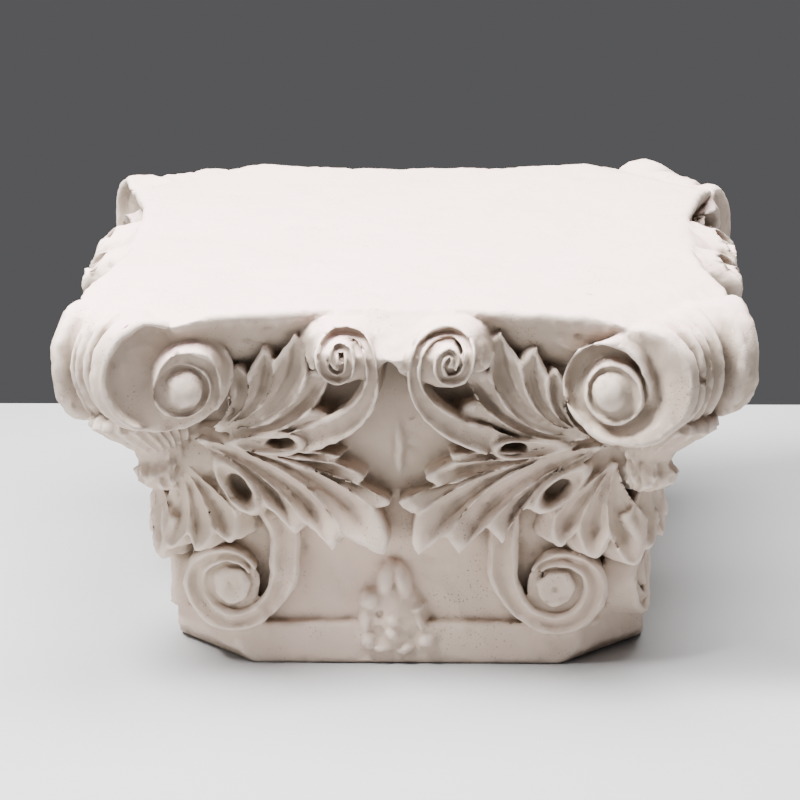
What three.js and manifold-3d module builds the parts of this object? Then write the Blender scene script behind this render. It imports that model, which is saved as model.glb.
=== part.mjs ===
// A cast plaster Corinthian capital made as a low table base: a chamfered plinth, a square bell
// wrapped in acanthus, four horns that carry paired volutes, and a flat concave-sided abacus.
// Millimetres, +Z up, origin at the centre of the underside, front face towards -Y.
// One face is modelled as (u, n, z): u to the right, n straight out from the axis, z up.
// The other three faces are the same face turned by quarter turns.

import * as THREE from 'three';
import Module from 'manifold-3d';
import { mergeVertices } from 'three/addons/utils/BufferGeometryUtils.js';

// ---- driving dimensions ----
const HEIGHT = 420;
const PLINTH = { half: 258, flat: 187, height: 47, ease: 16 };
const ABACUS = { centre: 311, rise: 45, at: 260, end: 240, lip: 20, throat: 42, recess: 13 };
const BELL = [[40, 244], [200, 245], [300, 270], [405, 306]];
const LEAF = [[110, 270], [150, 276], [200, 279], [240, 287], [280, 298], [330, 306], [400, 316]];
const LEAF_ROOTED = 70; // how deep the back of a leaf lies in the bell
const EYELET_DEPTH = 13;
const CORNER_POWER = 7;

const RIM = { u: 242, z: 348.5, radius: 71.5 };
const EYE = { u: 224, z: 339, radius: 23, out: 19 };
const DISH_DEPTH = 15;
const BAND_HOLLOW = 17;
const COIL = { from: 58, to: 30, turns: 1.55, wide: 17, narrow: 9 };

const SCROLL_EYE = 21;
const SLIVER = 3.6; // the widest sliver that is merged away after the pieces are joined
const QUARTERS = 4;
const QUARTER = Math.PI / 2;
const TURN = 2 * Math.PI;

// Each half of a face: leaf points are [u, z] pairs of tip and notch in turn, outwards from a root.
const LEFT = {
  side: -1,
  upper: {
    root: [-205, 281],
    bend: -0.2,
    edge: [[-190, 338], [-175, 357], [-163, 347], [-145, 379], [-135, 362], [-112, 393],
      [-99, 350], [-80, 348], [-97, 306], [-82, 294], [-112, 282]],
  },
  lower: {
    root: [-226, 268],
    bend: 0.1,
    edge: [[-76, 252], [-41, 225], [-52, 216], [-15, 195], [-32, 188],
      [-22, 140], [-65, 158], [-78, 143], [-106, 172], [-118, 160], [-145, 190], [-166, 188],
      [-182, 183], [-187, 152], [-212, 170], [-224, 144], [-241, 158], [-258, 138], [-268, 170]],
  },
  eyelets: [
    { at: [-128, 268], long: 19, short: 9, tilt: 0.06 },
    { at: [-176, 212], long: 22, short: 11, tilt: -1.0 },
  ],
  helix: {
    stem: [[-96, 302, 270], [-70, 308, 280], [-45, 320, 299], [-34, 336, 327], [-29, 350, 357]],
    centre: [-53, 382],
    out: 360,
  },
  scroll: { centre: [-189, 93], stem: [[-118, 262, 190], [-124, 264, 160], [-128, 262, 125]] },
};
const RIGHT = {
  side: 1,
  upper: {
    root: [203, 272],
    bend: -0.2,
    edge: [[176, 330], [163, 352], [155, 346], [143, 378], [127, 360], [106, 396],
      [93, 350], [68, 355], [82, 317], [60, 303], [97, 284]],
  },
  lower: {
    root: [218, 258],
    bend: 0.1,
    edge: [[58, 252], [23, 225], [36, 214], [-6, 195], [14, 183],
      [15, 140], [45, 157], [60, 139], [88, 168], [106, 153], [126, 187], [143, 186],
      [160, 185], [164, 148], [188, 163], [208, 134], [226, 150], [256, 122], [268, 165]],
  },
  eyelets: [
    { at: [116, 264], long: 17, short: 9, tilt: 0.05 },
    { at: [165, 209], long: 22, short: 11, tilt: 0.85 },
  ],
  helix: {
    stem: [[82, 300, 266], [56, 307, 280], [30, 319, 302], [19, 335, 329], [15, 349, 357]],
    centre: [41, 379],
    out: 360,
  },
  scroll: { centre: [165, 92], stem: [[103, 262, 190], [101, 264, 160], [104, 262, 125]] },
};

const wasm = await Module();
wasm.setup();

// ---- helpers ----

/** Value at x of a line through [x, y] points. */
function along(points, x) {
  let index = 1;
  while (index < points.length - 1 && x > points[index][0]) index += 1;
  const [x0, y0] = points[index - 1];
  const [x1, y1] = points[index];
  const t = THREE.MathUtils.clamp((x - x0) / (x1 - x0), 0, 1);
  return THREE.MathUtils.lerp(y0, y1, t);
}

/** A point of the front face. */
function onFace(u, n, z) {
  return new THREE.Vector3(u, -n, z);
}

/** How far out the abacus edge stands at u. */
function abacusEdge(u) {
  return ABACUS.centre + ABACUS.rise * (u / ABACUS.at) ** 2;
}

/** How far out a rounded square of this half width stands at u. */
function squareFace(half, u) {
  const share = Math.min(Math.abs(u) / half, 0.995);
  return half * (1 - share ** CORNER_POWER) ** (1 / CORNER_POWER);
}

/** How far out the leaves stand at a point of the face. */
function leafFace(u, z) {
  return squareFace(along(LEAF, z), u);
}

/** Turns a closed three.js geometry into a solid, with its faces outwards. */
function solid(geometry) {
  geometry.deleteAttribute('normal');
  geometry.deleteAttribute('uv');
  const merged = mergeVertices(geometry, 1e-3);
  const position = merged.getAttribute('position');
  const index = Array.from(merged.getIndex().array);
  const corners = [new THREE.Vector3(), new THREE.Vector3(), new THREE.Vector3()];
  const triangles = [];
  let volume = 0;
  for (let i = 0; i < index.length; i += 3) {
    const [a, b, c] = index.slice(i, i + 3);
    if (a === b || b === c || c === a) continue;
    corners.forEach((corner, k) => corner.fromBufferAttribute(position, index[i + k]));
    volume += corners[0].dot(corners[1].clone().cross(corners[2]));
    triangles.push([a, b, c]);
  }
  const facing = ([a, b, c]) => (volume > 0 ? [a, b, c] : [a, c, b]);
  const triVerts = Uint32Array.from(triangles.flatMap(facing));
  const vertProperties = Float32Array.from(position.array);
  return new wasm.Manifold(new wasm.Mesh({ numProp: 3, vertProperties, triVerts }));
}

/** A ball pulled into shape: place(around, along) gives the point for two values from 0 to 1. */
function pulled(segments, rings, place) {
  const geometry = new THREE.SphereGeometry(1, segments, rings);
  const position = geometry.getAttribute('position');
  const uv = geometry.getAttribute('uv');
  for (let i = 0; i < position.count; i += 1) {
    const row = Math.round((1 - uv.getY(i)) * rings) / rings;
    const column = Math.round(uv.getX(i) * segments) % segments;
    const atPole = row === 0 || row === 1;
    const point = place(atPole ? 0 : column / segments, row);
    position.setXYZ(i, point.x, point.y, point.z);
  }
  return solid(geometry);
}

/** A slab pulled into shape: place(across, out, top) with two values from 0 to 1. */
function slab(columns, rows, place) {
  const geometry = new THREE.BoxGeometry(1, 1, 1, columns, rows, 1);
  const position = geometry.getAttribute('position');
  for (let i = 0; i < position.count; i += 1) {
    const point = place(position.getX(i) + 0.5, position.getY(i) + 0.5, position.getZ(i) > 0);
    position.setXYZ(i, point.x, point.y, point.z);
  }
  return solid(geometry);
}

/** A bar swept along a curve of face points; size(t) gives its half width and half depth. */
function swept(points, sides, size) {
  const last = points.length - 1;
  return pulled(sides, last + 2, (around, row) => {
    const step = Math.round(row * (last + 2)) - 1;
    const at = THREE.MathUtils.clamp(step, 0, last);
    const here = points[at];
    if (step < 0 || step > last) return here.clone();
    const ahead = points[Math.min(at + 1, last)].clone().sub(points[Math.max(at - 1, 0)]).normalize();
    const outward = new THREE.Vector3(0, -1, 0);
    const across = ahead.clone().cross(outward).normalize();
    const proud = across.clone().cross(ahead).normalize();
    const [halfWidth, halfDepth] = size(at / last);
    const angle = around * TURN + Math.PI / sides;
    return here.clone()
      .addScaledVector(across, halfWidth * Math.cos(angle))
      .addScaledVector(proud, halfDepth * (Math.sin(angle) - 1));
  });
}

/** Points of a spiral on the face, from angle start, with radius and centre easing inwards. */
function spiral({ from, to, start, turns, steps, centreFrom, centreTo, tall, out, side }) {
  const points = [];
  for (let i = 0; i <= steps; i += 1) {
    const t = i / steps;
    const angle = start - t * turns * TURN;
    const radius = THREE.MathUtils.lerp(from, to, t);
    const u = THREE.MathUtils.lerp(centreFrom[0], centreTo[0], t) + side * radius * Math.cos(angle);
    const z = THREE.MathUtils.lerp(centreFrom[1], centreTo[1], t) + radius * tall * Math.sin(angle);
    points.push(onFace(u, out(u, z), z));
  }
  return points;
}

function joined(solids) {
  return solids.reduce((sum, next) => sum.add(next));
}

/** The casting has no sealed pockets, so the small ones between joined pieces are filled. */
function outerShell(casting) {
  return casting.decompose().reduce((kept, shell) => (shell.volume() > kept.volume() ? shell : kept));
}

// ---- the core ----

function plinth() {
  const { half, flat, height, ease } = PLINTH;
  const outline = new THREE.Shape();
  for (let quarter = 0; quarter < QUARTERS; quarter += 1) {
    for (const [x, y] of [[-flat, -half], [flat, -half]]) {
      const point = new THREE.Vector2(x, y).rotateAround(new THREE.Vector2(), quarter * QUARTER);
      if (quarter === 0 && x < 0) outline.moveTo(point.x, point.y);
      else outline.lineTo(point.x, point.y);
    }
  }
  let body = solid(new THREE.ExtrudeGeometry(outline, { depth: height, bevelEnabled: false }));
  const chamferReach = (half + flat) / Math.SQRT2;
  for (let quarter = 0; quarter < QUARTERS; quarter += 1) {
    const cutter = new THREE.BoxGeometry(half, ease * 2, ease * 2);
    cutter.rotateX(Math.PI / 4);
    cutter.translate(0, -chamferReach, 0);
    cutter.rotateZ(Math.PI / 4 + quarter * QUARTER);
    body = body.subtract(solid(cutter));
  }
  return body;
}

function bell() {
  const segments = 20;
  const rings = BELL.length + 1;
  return pulled(segments, rings, (around, row) => {
    const step = THREE.MathUtils.clamp(Math.round(row * rings) - 1, 0, BELL.length - 1);
    const [z, half] = BELL[step];
    if (row === 0 || row === 1) return new THREE.Vector3(0, 0, z);
    const angle = around * TURN;
    const [c, s] = [Math.cos(angle), Math.sin(angle)];
    const reach = half / (Math.abs(c) ** CORNER_POWER + Math.abs(s) ** CORNER_POWER) ** (1 / CORNER_POWER);
    return new THREE.Vector3(reach * c, reach * s, z);
  });
}

/** A concave-sided plate between two heights, its edge set back by recess. */
function concavePlate(bottom, top, recess) {
  const outline = new THREE.Shape();
  const steps = 5;
  for (let quarter = 0; quarter < QUARTERS; quarter += 1) {
    for (let i = 0; i <= steps; i += 1) {
      const u = ABACUS.end * (2 * i / steps - 1);
      const point = new THREE.Vector2(u, recess - abacusEdge(u));
      point.rotateAround(new THREE.Vector2(), quarter * QUARTER);
      if (quarter === 0 && i === 0) outline.moveTo(point.x, point.y);
      else outline.lineTo(point.x, point.y);
    }
  }
  const plate = new THREE.ExtrudeGeometry(outline, { depth: top - bottom, bevelEnabled: false });
  plate.translate(0, 0, bottom);
  return solid(plate);
}

function abacus() {
  const lipBottom = HEIGHT - ABACUS.lip;
  return concavePlate(lipBottom, HEIGHT, 0)
    .add(concavePlate(lipBottom - ABACUS.throat, lipBottom + 1, ABACUS.recess));
}

// ---- the horns and their volutes ----

/** A horn at the front right corner: two dished discs with a hollow band between their rims. */
function horn() {
  const discRows = [0, 0.68, 0.74, 1];
  const dish = [DISH_DEPTH, DISH_DEPTH, 0, 0];
  const bandRows = [0.25, 0.75];
  const segments = 16;
  const rows = discRows.length * 2 + bandRows.length - 1;
  const disc = (angle, share, depth) => {
    const radius = RIM.radius * share;
    const u = THREE.MathUtils.lerp(EYE.u, RIM.u, share) + radius * Math.cos(angle);
    const z = THREE.MathUtils.lerp(EYE.z, RIM.z, share) + radius * Math.sin(angle);
    return onFace(u, abacusEdge(u) - depth, Math.min(z, HEIGHT - 0.2));
  };
  const acrossCorner = (point) => new THREE.Vector3(-point.y, -point.x, point.z);
  return pulled(segments, rows, (around, row) => {
    const step = Math.round(row * rows);
    const angle = around * TURN;
    if (step < discRows.length) return disc(angle, discRows[step], dish[step]);
    const back = rows - step;
    if (back < discRows.length) return acrossCorner(disc(angle, discRows[back], dish[back]));
    const t = bandRows[step - discRows.length];
    const near = disc(angle, 1, 0);
    const point = near.clone().lerp(acrossCorner(near), t);
    const hollow = BAND_HOLLOW * Math.max(0, Math.cos(angle));
    return point.add(new THREE.Vector3(-hollow, hollow, 0));
  });
}

function volute({ side }) {
  const coil = spiral({
    from: COIL.from, to: COIL.to, start: QUARTER, turns: COIL.turns, steps: 12,
    centreFrom: [side * RIM.u, RIM.z], centreTo: [side * EYE.u, EYE.z],
    tall: 1, side, out: (u) => abacusEdge(u) + 3,
  });
  const ridge = swept(coil, 3, (t) => [THREE.MathUtils.lerp(COIL.wide, COIL.narrow, t) / 2, 11]);
  const eye = pulled(8, 4, (around, row) => {
    const reach = EYE.radius * Math.sin(row * Math.PI);
    const out = (EYE.out + DISH_DEPTH) * Math.cos(row * Math.PI) / 2;
    const u = side * EYE.u + reach * Math.cos(around * TURN);
    const n = abacusEdge(EYE.u) + (EYE.out - DISH_DEPTH) / 2 + out;
    return onFace(u, n, EYE.z + reach * Math.sin(around * TURN));
  });
  return ridge.add(eye);
}

// ---- the carving of one half of a face ----

/** A fan of pointed lobes, gouged down each lobe and ridged between lobes. */
function leafFan({ root, bend, edge }, side) {
  const columns = edge.length - 1;
  const rows = 2;
  return slab(columns, rows, (across, out, top) => {
    const column = Math.round(across * columns);
    const [u1, z1] = edge[column];
    const isTip = column % 2 === 1;
    const arch = bend * 4 * out * (1 - out);
    const u = THREE.MathUtils.lerp(root[0], u1, 0.08 + 0.92 * out) + side * arch * (z1 - root[1]);
    const z = THREE.MathUtils.lerp(root[1], z1, 0.08 + 0.92 * out) + arch * Math.abs(u1 - root[0]);
    const gouge = isTip ? 9 * Math.sin(out * 2.6) : 0;
    const thickness = top ? -gouge : -LEAF_ROOTED;
    return onFace(u, leafFace(u, z) + thickness, z);
  });
}

/** The drop-shaped hollow that is sunk in the leaf between two lobes. */
function eyeletHole({ at, long, short, tilt }) {
  return pulled(6, 3, (around, row) => {
    const depth = row < 0.5 ? EYELET_DEPTH : -EYELET_DEPTH;
    const isPole = row === 0 || row === 1;
    const angle = around * TURN;
    const a = isPole ? 0 : long * Math.cos(angle);
    const b = isPole ? 0 : short * Math.sin(angle);
    const u = at[0] + a * Math.cos(tilt) - b * Math.sin(tilt);
    const z = at[1] + a * Math.sin(tilt) + b * Math.cos(tilt);
    return onFace(u, leafFace(at[0], at[1]) + depth, z);
  });
}

function helix({ stem, centre, out }, side) {
  const steps = 8;
  const scroll = spiral({
    from: 25, to: 9, start: 0, turns: -1.2, steps, centreFrom: centre, centreTo: centre,
    tall: 1.08, side: -side, out: () => out,
  });
  const path = stem.map(([u, n, z]) => onFace(u, n, z)).concat(scroll);
  return swept(path, 4, (t) => [t < 0.35 ? 12 : THREE.MathUtils.lerp(12, 8, t), 26 + 12 * t]);
}

function lowerScroll({ centre, stem }, side) {
  const steps = 10;
  const face = (u) => squareFace(270, u);
  const coil = spiral({
    from: 60, to: 29, start: Math.PI, turns: -1.3, steps, centreFrom: centre, centreTo: centre,
    tall: 1, side, out: face,
  });
  const path = stem.map(([u, n, z]) => onFace(u, n, z)).concat(coil);
  const band = swept(path, 3, (t) => [THREE.MathUtils.lerp(14, 9, t), 15]);
  const eye = pulled(8, 3, (around, row) => {
    const reach = row === 0 || row === 1 ? 0 : SCROLL_EYE;
    const u = centre[0] + reach * Math.cos(around * TURN);
    return onFace(u, face(u) + (row < 0.5 ? 4 : -55), centre[1] + reach * Math.sin(around * TURN));
  });
  return band.add(eye);
}

/** A blob with its centre on the face and half sizes [u, n, z], leaning by lean. */
function blob(centre, size, lean, segments, rings) {
  return pulled(segments, rings, (around, row) => {
    const ring = Math.sin(row * Math.PI);
    const u = size[0] * ring * Math.cos(around * TURN);
    const n = size[1] * ring * Math.sin(around * TURN);
    const z = size[2] * Math.cos(row * Math.PI);
    return onFace(centre[0] + u + lean * z, centre[1] + n, centre[2] + z);
  });
}

function fleuron() {
  const parts = [
    blob([-20, 252, 93], [11, 20, 22], 0.15, 5, 4),
    blob([-2, 252, 93], [11, 20, 22], -0.15, 5, 4),
    blob([-14, 256, 46], [15, 24, 15], 0, 6, 3),
    blob([-40, 250, 55], [15, 22, 24], 0.1, 6, 3),
    blob([16, 250, 42], [15, 20, 16], -0.3, 6, 3),
  ];
  return joined(parts);
}

/** The curled leaf tip that hangs at a corner under the horn. */
function cornerKnob() {
  const reach = 254;
  return blob([reach, reach, 230], [32, 32, 24], 0, 7, 3);
}

function halfFace(half) {
  const carving = [
    leafFan(half.upper, half.side),
    leafFan(half.lower, half.side),
    helix(half.helix, half.side),
    lowerScroll(half.scroll, half.side),
    volute(half),
  ];
  let relief = joined(carving);
  for (const eyelet of half.eyelets) {
    relief = relief.subtract(eyeletHole(eyelet));
  }
  return relief;
}

// ---- the whole casting ----

function capitalGeometry() {
  const face = joined([halfFace(LEFT), halfFace(RIGHT), fleuron(), horn(), cornerKnob()]);
  let whole = joined([plinth(), bell(), abacus()]);
  for (let quarter = 0; quarter < QUARTERS; quarter += 1) {
    whole = whole.add(face.rotate([0, 0, quarter * 90]));
  }
  whole = outerShell(whole.asOriginal().simplify(SLIVER));
  const { vertProperties, triVerts } = whole.getMesh();
  const geometry = new THREE.BufferGeometry();
  geometry.setAttribute('position', new THREE.BufferAttribute(vertProperties, 3));
  geometry.setIndex(new THREE.BufferAttribute(triVerts, 1));
  geometry.computeVertexNormals();
  return geometry;
}

const plaster = new THREE.MeshStandardMaterial({ color: 0xe6ddd6, roughness: 0.85, metalness: 0 });

const part = new THREE.Group();
const capital = new THREE.Mesh(capitalGeometry(), plaster);
capital.name = 'capital';
part.add(capital);

export default part;
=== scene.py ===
"""A cast plaster Corinthian capital, made as a low table base.

The carving is drawn in millimetres on a capital 420 mm high and scaled to the frame. One face is
drawn as (u, n, z): u to the right, n straight out from the axis, z up. The same face, turned by
quarters, makes the other three, and all of it is one casting.
"""

import math

import bpy
import numpy as np
from mathutils import Matrix, Vector


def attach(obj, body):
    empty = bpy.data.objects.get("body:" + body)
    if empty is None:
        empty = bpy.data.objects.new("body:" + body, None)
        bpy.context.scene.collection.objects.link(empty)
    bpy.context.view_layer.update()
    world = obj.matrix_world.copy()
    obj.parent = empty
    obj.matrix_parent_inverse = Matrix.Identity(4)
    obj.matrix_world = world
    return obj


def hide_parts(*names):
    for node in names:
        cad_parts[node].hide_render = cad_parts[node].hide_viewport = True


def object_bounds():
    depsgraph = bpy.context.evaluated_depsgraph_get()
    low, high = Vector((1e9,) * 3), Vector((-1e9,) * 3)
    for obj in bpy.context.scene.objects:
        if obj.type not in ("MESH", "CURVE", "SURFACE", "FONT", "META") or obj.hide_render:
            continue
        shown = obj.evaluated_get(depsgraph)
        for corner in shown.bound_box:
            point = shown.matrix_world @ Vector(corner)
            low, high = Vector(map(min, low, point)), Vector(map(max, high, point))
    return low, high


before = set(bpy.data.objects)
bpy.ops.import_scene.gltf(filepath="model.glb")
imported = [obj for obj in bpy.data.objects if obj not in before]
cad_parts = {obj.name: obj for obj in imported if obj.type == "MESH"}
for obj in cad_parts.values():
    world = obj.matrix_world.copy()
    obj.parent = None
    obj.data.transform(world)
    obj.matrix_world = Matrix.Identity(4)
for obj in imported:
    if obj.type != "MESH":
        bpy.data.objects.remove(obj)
cad_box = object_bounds()

# ---- driving sizes, millimetres on the drawn capital ----
HEIGHT = 420
UNIT = (cad_box[1][2] - cad_box[0][2]) / HEIGHT
QUARTERS = 4
TURN = 2 * math.pi

# Half the foot's width, half the flat of a side, its height, and how far its corners draw in at the floor.
PLINTH = {"half": 258, "flat": 187, "height": 48, "ease": 13}
# How far out a side of the abacus is in its middle and how much further at u = at, and where u + n is
# cut off at a corner, with how much of that the top of the corner slopes away.
ABACUS = {"centre": 311, "rise": 45, "at": 260, "cut": 586, "corner_slope": 52}
# Outlines as (height, how far out): the bell, the leaves' faces on it, and the helices' fronts.
BELL = ((38, 244), (60, 246), (110, 244), (160, 246), (200, 254), (250, 262), (300, 274), (350, 288),
        (408, 302))
LEAF = ((105, 280), (130, 285), (150, 284), (175, 280), (205, 279), (240, 284), (275, 294), (310, 302),
        (350, 309), (400, 319))
HELIX = ((255, 285), (268, 294), (280, 304), (295, 314), (312, 326), (330, 340), (350, 354), (370, 366),
         (385, 366), (398, 352), (408, 336))

# How square the bell and the leaves on it are: 2 is round, and more is squarer.
CORNER_POWER = 7.0

# A volute's eye: the (u, z) its disc is drawn from, its radius and how far out it is. Then the middles
# of the right-hand eye and the left-hand one, and how deep the bowl round the right-hand one is.
EYE = {"u": 224, "z": 339, "radius": 22.8, "out": 20}
EYE_RIGHT = (222, 338)
EYE_LEFT = (228, 340)
BOWL_DEPTH = 16

# The outlines of the volutes' discs, as (degrees, reach) from a centre (u, z).
RIM_RIGHT_CENTRE = (242, 348.5)
RIM_RIGHT = ((-180, 72), (-160, 74), (-119, 75), (-104, 72), (-71, 69), (-49, 65), (-29, 64), (0, 65),
             (30, 67), (60, 66), (90, 60), (105, 54), (120, 54), (135, 57), (150, 66), (180, 72))
RIM_LEFT_CENTRE = (243, 353)
RIM_LEFT = ((-180, 68), (-135, 63), (-90, 62), (-45, 65), (0, 70), (42, 73), (70, 72), (90, 61), (105, 53),
            (120, 52), (135, 58), (150, 64), (180, 68))

# The right-hand volute's wall, by degrees wound on: its reach from the eye, height, and inner slope.
COIL_START = 70
COIL_REACH = ((-70, 62), (-38, 60), (9, 62), (45, 57), (90, 55), (135, 50), (180, 54), (225, 57), (247, 56),
              (263, 54), (281, 50), (300, 46), (322, 40), (349, 38), (380, 36))
COIL_HEIGHT = ((-70, -2), (0, -1), (90, 0), (180, 3), (225, 8), (281, 9), (322, 6), (349, -2), (380, -10))
COIL_SLOPE = ((-70, 22), (45, 20), (110, 12), (160, 6), (380, 6))
RING_REACH = ((-180, 27), (-135, 30), (-90, 34), (-45, 32), (0, 29), (45, 29), (90, 30), (135, 28), (180, 27))

# The left-hand volute's drum, by degrees wound on: its crest, its outer edge, and its height.
DRUM_START = -136
DRUM_CREST = ((-224, 46), (-205, 41), (-180, 40), (-159, 41), (-139, 44), (-119, 45), (-97, 43), (-76, 41),
              (-55, 35), (-36, 31), (-16, 29.5), (10, 29))
DRUM_EDGE = ((-224, 50), (-205, 53), (-180, 55), (-159, 57), (-119, 57), (-97, 53), (-76, 51), (-55, 47),
             (-36, 42), (-16, 36), (10, 31))
DRUM_HEIGHT = ((-224, -6), (-205, 0), (-180, 2), (-159, 4), (-119, 7), (-76, 9), (-36, 8), (10, 2))

# How deep the band between two volutes is cut, from the right-hand rim to the left-hand one.
BAND_DEPTH = ((0, 0), (0.05, 0), (0.09, 6), (0.14, 20), (0.18, 21), (0.24, 12), (0.28, 8), (0.31, 11),
              (0.335, 15), (0.36, 11), (0.39, 8), (0.43, 13), (0.47, 16), (0.52, 12), (0.56, 8), (0.60, 11),
              (0.65, 22), (0.71, 22), (0.77, 7), (0.82, 0), (1, 0))
# The folds that run on from it over the horn's top and underside, and how deep they go.
BAND_FOLDS = (0.335, 0.47, 0.68)
FOLD_DEPTH = 9

# The swelling under a horn, as (z, how far out its middle is, radius).
FLARE = ((202, 252, 12), (208, 256, 21), (217, 260, 28), (227, 261, 29), (234, 260, 26), (240, 259, 25),
         (250, 261, 29), (262, 266, 35), (274, 273, 43), (288, 282, 51), (298, 281, 49), (310, 271, 40),
         (330, 262, 32))

# What its radius is multiplied by, and what it is divided by outwards and inwards along the diagonal
# and across it; and its ribs, counted round it.
FLARE_ROUND = 0.924
FLARE_OUTWARDS = 0.79
FLARE_INWARDS = 0.36
FLARE_ACROSS = 1.17
FLARE_RIBS = 22

# How deep the backs of the pieces lie, and how far in a leaf's back is drawn towards the axis.
EYE_ROOTED = 40
EYELET_ROOTED = 40
HELIX_ROOTED = 58
SCROLL_ROOTED = 36
SCROLL_EYE_ROOTED = 30
LEAF_BACK = 0.78

LEAF_HOLE_DEPTH = 26
EYELET_DEPTH = 20
EYELET_REACH = 2.1
SCROLL_DISH = 31
BAND_SEGMENTS = 32
LOBE_COLUMNS = 24
LEAF_ROWS = 110

# The lower edge of the mass that the helices curl over, as (u, height).
SADDLE_EDGE = ((-84, 368), (-76, 352), (-62, 346), (-46, 350), (-30, 352), (-12, 374), (8, 354), (24, 346),
               (44, 340), (60, 346), (72, 372))
# A lower scroll's two ridges, as (degrees wound on, reach from the eye).
SCROLL_FACE = 266
SCROLL_OUTER = ((150, 80), (164, 73), (180, 64), (200, 56), (225, 51), (250, 50), (300, 51), (355, 52),
                (370, 51), (400, 47), (427, 42), (450, 39), (475, 35), (500, 31), (530, 26))
SCROLL_INNER = ((140, 62), (150, 52), (180, 41), (209, 36), (247, 33), (323, 32), (385, 33), (416, 31),
                (450, 30), (500, 27), (530, 23))

# The flower at the foot of a face: its lumps as (middle, half length, half width, lean, how far out),
# and its drilled holes as (middle, radius).
FLEURON_LUMPS = (
    ((-22, 96), 25, 11.5, 1.35, 263), ((-4, 94), 25, 11, 1.8, 263), ((-39, 73), 15.5, 14.5, 0.4, 266),
    ((-44, 49), 20, 10, 1.5, 264), ((-41, 28), 16, 12, 1.8, 266), ((11, 64), 14, 7.5, 0.4, 262),
    ((15, 49), 17, 6.5, 1.8, 264), ((22, 28), 15, 12, 0.3, 267), ((-26, 20), 19, 11, 0.1, 265),
    ((-2, 19), 18, 11, 0.2, 265), ((-14, 52), 15, 14, 0, 269), ((-16, 37), 14, 12, 0, 270),
    ((-14, 46), 50, 42, 1.57, 263),
)
FLEURON_HOLES = (((-31, 39), 7), ((7, 35), 6), ((-29, 58), 5))
FLEURON_BOX = {"left": -58, "right": 42, "low": 10, "high": 124}
FLEURON_BACK = 236
FLEURON_ROOT = 240
FLEURON_HOLE_FLOOR = 256

# The leaves' edges, as a notch, then a tip and a notch for every lobe, and how far the line to each
# notch bows.
UPPER_LEFT = ((-190, 338), (-175, 357), (-163, 347), (-145, 379), (-135, 362), (-112, 393), (-99, 350),
              (-80, 348), (-97, 306), (-80, 294), (-112, 282), (-104, 269), (-112, 254))
LOWER_LEFT = ((-112, 258), (-66, 251), (-74, 243), (-41, 225), (-50, 216), (-15, 195), (-32, 189), (-22, 140),
              (-65, 156), (-78, 143), (-106, 172), (-118, 160), (-147, 190), (-160, 184), (-176, 190))
SIDE_LEFT = ((-180, 184), (-187, 150), (-205, 161), (-226, 137), (-235, 157), (-261, 134), (-268, 176))
UPPER_RIGHT = ((176, 330), (163, 352), (155, 346), (143, 378), (127, 360), (106, 396), (93, 350), (68, 355),
               (82, 317), (60, 301), (97, 284), (92, 264), (104, 250))
LOWER_RIGHT = ((100, 256), (52, 253), (54, 243), (23, 225), (38, 214), (-6, 195), (14, 183), (15, 138),
               (45, 157), (60, 138), (88, 168), (106, 151), (128, 187), (143, 184), (160, 190))
SIDE_RIGHT = ((160, 182), (165, 147), (186, 163), (204, 132), (222, 156), (250, 118), (262, 168))
UPPER_BOW = (-0.2, -0.2, -0.2, -0.2, -0.15, -0.1, 0.0)
LOWER_BOW = (-0.04, -0.02, 0.02, 0.07, 0.125, 0.07, 0.1, 0.1)
SIDE_BOW = (0.0, 0.05, 0.08, 0.12)

# The plaster's colours.
# Pale pink for the flat top, painted lighter as if lit from above; the other faces take the darker cream,
# partly the plaster's own tone.
PALE_LIT_TOP = (0.80, 0.57, 0.54, 1)
CREAM = (0.61, 0.49, 0.39, 1)
WORN = (0.78, 0.66, 0.58, 1)
# Old dirt mixed with painted shade, for the hollows and creases.
DIRT_AND_SHADE = (0.205, 0.16, 0.12, 1)
# Painted shade for the upper faces that don't face up, under the top's overhang.
PAINTED_UPPER_SHADE = (0.215, 0.17, 0.13, 1)
SPECK = (0.16, 0.12, 0.09, 1)

# How near another surface has to be for the dirt and painted shade in hollows, and for the painted shade
# under overhangs, in metres.
DIRT_AND_SHADE_REACH = 0.033
OVERHANG_SHADE_REACH = 0.13

# The grain of the finished surface, in millimetres.
VOXEL = 1.6
MOST_TRIANGLES = 190_000

# The camera's elevation, azimuth and roll in degrees, the point it looks at and its distance in metres.
CAMERA_ANGLES = (17.36, 2.7, -0.7)
CAMERA_AIM = (-0.0168, 0.0087, 0.2191)
CAMERA_DISTANCE = 4.02
CAMERA_LENS = 157.5
CAMERA_SENSOR = 36

FLOOR_SIZE = (2.4, 2.38, 0.04)
FLOOR_FORWARD = 0.5
FLOOR_COLOUR = (0.42, 0.42, 0.425, 1)
STUDIO_COLOUR = (0.1, 0.1, 0.104, 1)
LAMP_AIM = (0, 0, 0.25)


# ---- curves and small sums ----

def ease(low, high, value):
    """0 below low, 1 above high, and smooth between."""
    t = np.clip((value - low) / (high - low), 0.0, 1.0)
    return t * t * (3 - 2 * t)


def bump(value, centre, width):
    """A rounded ridge of height 1 around centre."""
    return np.exp(-((value - centre) / width) ** 2)


def through(points, values):
    """The smooth curve through (x, y) points, read at the given values."""
    xs, ys = np.array(points, float).T
    slopes = np.gradient(ys, xs)
    values = np.clip(values, xs[0], xs[-1])
    i = np.clip(np.searchsorted(xs, values) - 1, 0, len(xs) - 2)
    step = xs[i + 1] - xs[i]
    t = (values - xs[i]) / step
    return ((2 * t**3 - 3 * t**2 + 1) * ys[i] + (t**3 - 2 * t**2 + t) * step * slopes[i]
            + (3 * t**2 - 2 * t**3) * ys[i + 1] + (t**3 - t**2) * step * slopes[i + 1])


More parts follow.
